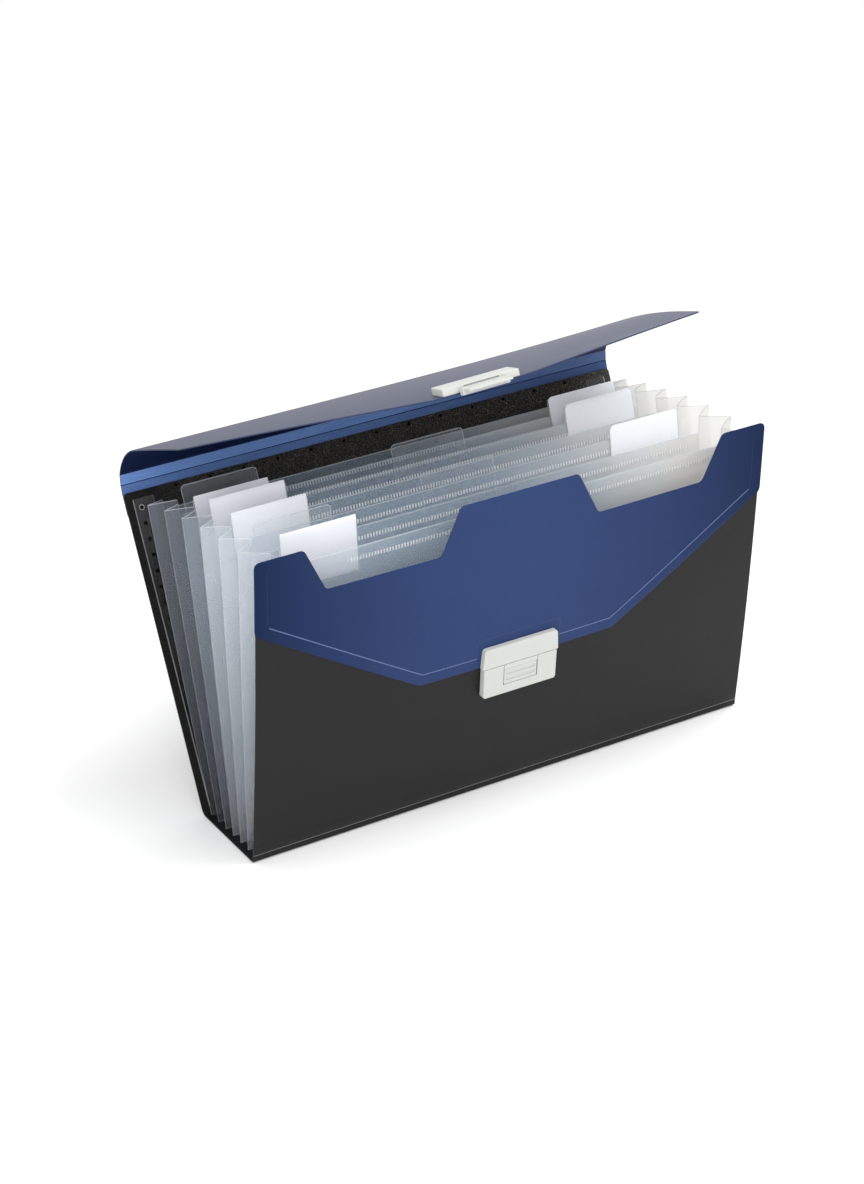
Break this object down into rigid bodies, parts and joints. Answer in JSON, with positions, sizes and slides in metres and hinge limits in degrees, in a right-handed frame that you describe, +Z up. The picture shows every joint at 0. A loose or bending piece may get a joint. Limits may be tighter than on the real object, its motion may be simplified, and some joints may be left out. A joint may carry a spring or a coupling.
{
  "type": "accordion file folder",
  "caption": "Expanding file folder standing open: board covers on a channel spine, blue front sheet, rolled flap with press clasp, fanned clear dividers with index tabs, pleated film sides.",
  "frame": {"origin": "middle of the spine's bottom face, on the surface that the folder stands on", "axes": "+X along the spine, to the right seen from the front; +Y from front to back; +Z up"},
  "size_m": [0.372, 0.1822, 0.2826],
  "materials": {
    "black_board": "matt polypropylene board, fine grain",
    "blue_board": "satin polypropylene board, fine grain",
    "ivory_plastic": "moulded, satin gloss",
    "weld_mark": "melted spots",
    "clear_sheet": "frosted translucent sheet",
    "clear_tab": "clear sleeve",
    "white_card": "smooth white card",
    "side_film": "milky translucent film"
  },
  "bodies": {
    "spine_base": {"spine": "black_board", "divider_1": "clear_sheet"},
    "front_cover": {"front_panel": "black_board", "front_pocket": "blue_board", "clasp_plate": "ivory_plastic", "clasp_housing": "ivory_plastic", "clasp_rivets": "ivory_plastic", "pleat_left_1": "side_film", "pleat_right_1": "side_film"},
    "press": {"clasp_press": "ivory_plastic"},
    "back_cover": {"back_panel": "black_board", "flap_strip": "blue_board", "strip_welds": "weld_mark", "margin_left": "side_film", "margin_right": "side_film"},
    "flap_cover": {"flap": "blue_board", "flap_clasp_plate": "ivory_plastic", "flap_clasp_rivets": "ivory_plastic"},
    "leaf_2": {"divider_2": "clear_sheet", "tab_2_left": "clear_tab", "pleat_left_2": "side_film", "pleat_right_2": "side_film"},
    "leaf_3": {"divider_3": "clear_sheet", "tab_3_left": "clear_tab", "tab_3_right": "clear_tab", "pleat_left_3": "side_film", "pleat_right_3": "side_film"},
    "leaf_4": {"divider_4": "clear_sheet", "tab_4_left": "clear_tab", "tab_4_middle": "clear_tab", "pleat_left_4": "side_film", "pleat_right_4": "side_film"},
    "leaf_5": {"divider_5": "clear_sheet", "tab_5_left": "clear_tab", "tab_5_right": "clear_tab", "pleat_left_5": "side_film", "pleat_right_5": "side_film"},
    "leaf_6": {"divider_6": "clear_sheet", "tab_6_left": "clear_tab", "tab_6_middle": "clear_tab", "tab_6_right": "clear_tab", "pleat_left_6": "side_film", "pleat_right_6": "side_film"},
    "leaf_7": {"divider_7": "clear_sheet", "tab_7_left": "clear_tab", "pleat_left_7": "side_film", "pleat_right_7": "side_film"},
    "slip_2_left": {"card_2_left": "white_card"},
    "slip_3_right": {"card_3_right": "white_card"},
    "slip_4_left": {"card_4_left": "white_card"},
    "slip_5_left": {"card_5_left": "white_card"},
    "slip_5_right": {"card_5_right": "white_card"},
    "slip_6_left": {"card_6_left": "white_card"},
    "slip_6_right": {"card_6_right": "white_card"}
  },
  "joints": [
    {"name": "back_cover_fold", "type": "hinge", "parent": "spine_base", "child": "back_cover", "pos_m": [0, 0.03459, 0.00415], "axis": [1, 0, 0], "range_deg": [0, 26.7], "deforming": ["pleat_left_1", "pleat_left_2", "pleat_left_3", "pleat_left_4", "pleat_left_5", "pleat_left_6", "pleat_left_7", "pleat_right_1", "pleat_right_2", "pleat_right_3", "pleat_right_4", "pleat_right_5", "pleat_right_6", "pleat_right_7"]},
    {"name": "front_cover_fold", "type": "hinge", "parent": "spine_base", "child": "front_cover", "pos_m": [0, -0.03177, 0.00421], "axis": [-1, 0, 0], "range_deg": [0, 3.7]},
    {"name": "leaf_2_fold", "type": "hinge", "parent": "spine_base", "child": "leaf_2", "pos_m": [0, -0.0196, 0.0015], "axis": [1, 0, 0], "range_deg": [0, 4.15]},
    {"name": "leaf_3_fold", "type": "hinge", "parent": "spine_base", "child": "leaf_3", "pos_m": [0, -0.0103, 0.0015], "axis": [1, 0, 0], "range_deg": [0, 8.3]},
    {"name": "leaf_4_fold", "type": "hinge", "parent": "spine_base", "child": "leaf_4", "pos_m": [0, -0.001, 0.0015], "axis": [1, 0, 0], "range_deg": [0, 12.45]},
    {"name": "leaf_5_fold", "type": "hinge", "parent": "spine_base", "child": "leaf_5", "pos_m": [0, 0.0083, 0.0015], "axis": [1, 0, 0], "range_deg": [0, 16.6]},
    {"name": "leaf_6_fold", "type": "hinge", "parent": "spine_base", "child": "leaf_6", "pos_m": [0, 0.0176, 0.0015], "axis": [1, 0, 0], "range_deg": [0, 20.75]},
    {"name": "leaf_7_fold", "type": "hinge", "parent": "spine_base", "child": "leaf_7", "pos_m": [0, 0.0269, 0.0015], "axis": [1, 0, 0], "range_deg": [0, 24.9]},
    {"name": "flap_fold", "type": "hinge", "parent": "back_cover", "child": "flap_cover", "pos_m": [0, 0.13108, 0.19986], "axis": [-1, 0, 0], "range_deg": [-13, 190]},
    {"name": "clasp_press_slide", "type": "slide", "parent": "front_cover", "child": "press", "axis": [0, 0.9979, 0.0645], "range_m": [0, 0.0012], "stiffness_N_per_m": 400},
    {"name": "card_2_left_slide", "type": "slide", "parent": "leaf_2", "child": "slip_2_left", "axis": [0, 0.0724, 0.9974], "range_m": [0, 0.02]},
    {"name": "card_3_right_slide", "type": "slide", "parent": "leaf_3", "child": "slip_3_right", "axis": [0, 0.1444, 0.9895], "range_m": [0, 0.02]},
    {"name": "card_4_left_slide", "type": "slide", "parent": "leaf_4", "child": "slip_4_left", "axis": [0, 0.2156, 0.9765], "range_m": [0, 0.02]},
    {"name": "card_5_left_slide", "type": "slide", "parent": "leaf_5", "child": "slip_5_left", "axis": [0, 0.2857, 0.9583], "range_m": [0, 0.02]},
    {"name": "card_5_right_slide", "type": "slide", "parent": "leaf_5", "child": "slip_5_right", "axis": [0, 0.2857, 0.9583], "range_m": [0, 0.02]},
    {"name": "card_6_left_slide", "type": "slide", "parent": "leaf_6", "child": "slip_6_left", "axis": [0, 0.3543, 0.9351], "range_m": [0, 0.02]},
    {"name": "card_6_right_slide", "type": "slide", "parent": "leaf_6", "child": "slip_6_right", "axis": [0, 0.3543, 0.9351], "range_m": [0, 0.02]}
  ],
  "couplings": [
    {"joint": "front_cover_fold", "follows": "back_cover_fold", "ratio": 0.13858},
    {"joint": "leaf_2_fold", "follows": "back_cover_fold", "ratio": 0.15543},
    {"joint": "leaf_3_fold", "follows": "back_cover_fold", "ratio": 0.31086},
    {"joint": "leaf_4_fold", "follows": "back_cover_fold", "ratio": 0.46629},
    {"joint": "leaf_5_fold", "follows": "back_cover_fold", "ratio": 0.62172},
    {"joint": "leaf_6_fold", "follows": "back_cover_fold", "ratio": 0.77715},
    {"joint": "leaf_7_fold", "follows": "back_cover_fold", "ratio": 0.93258}
  ]
}
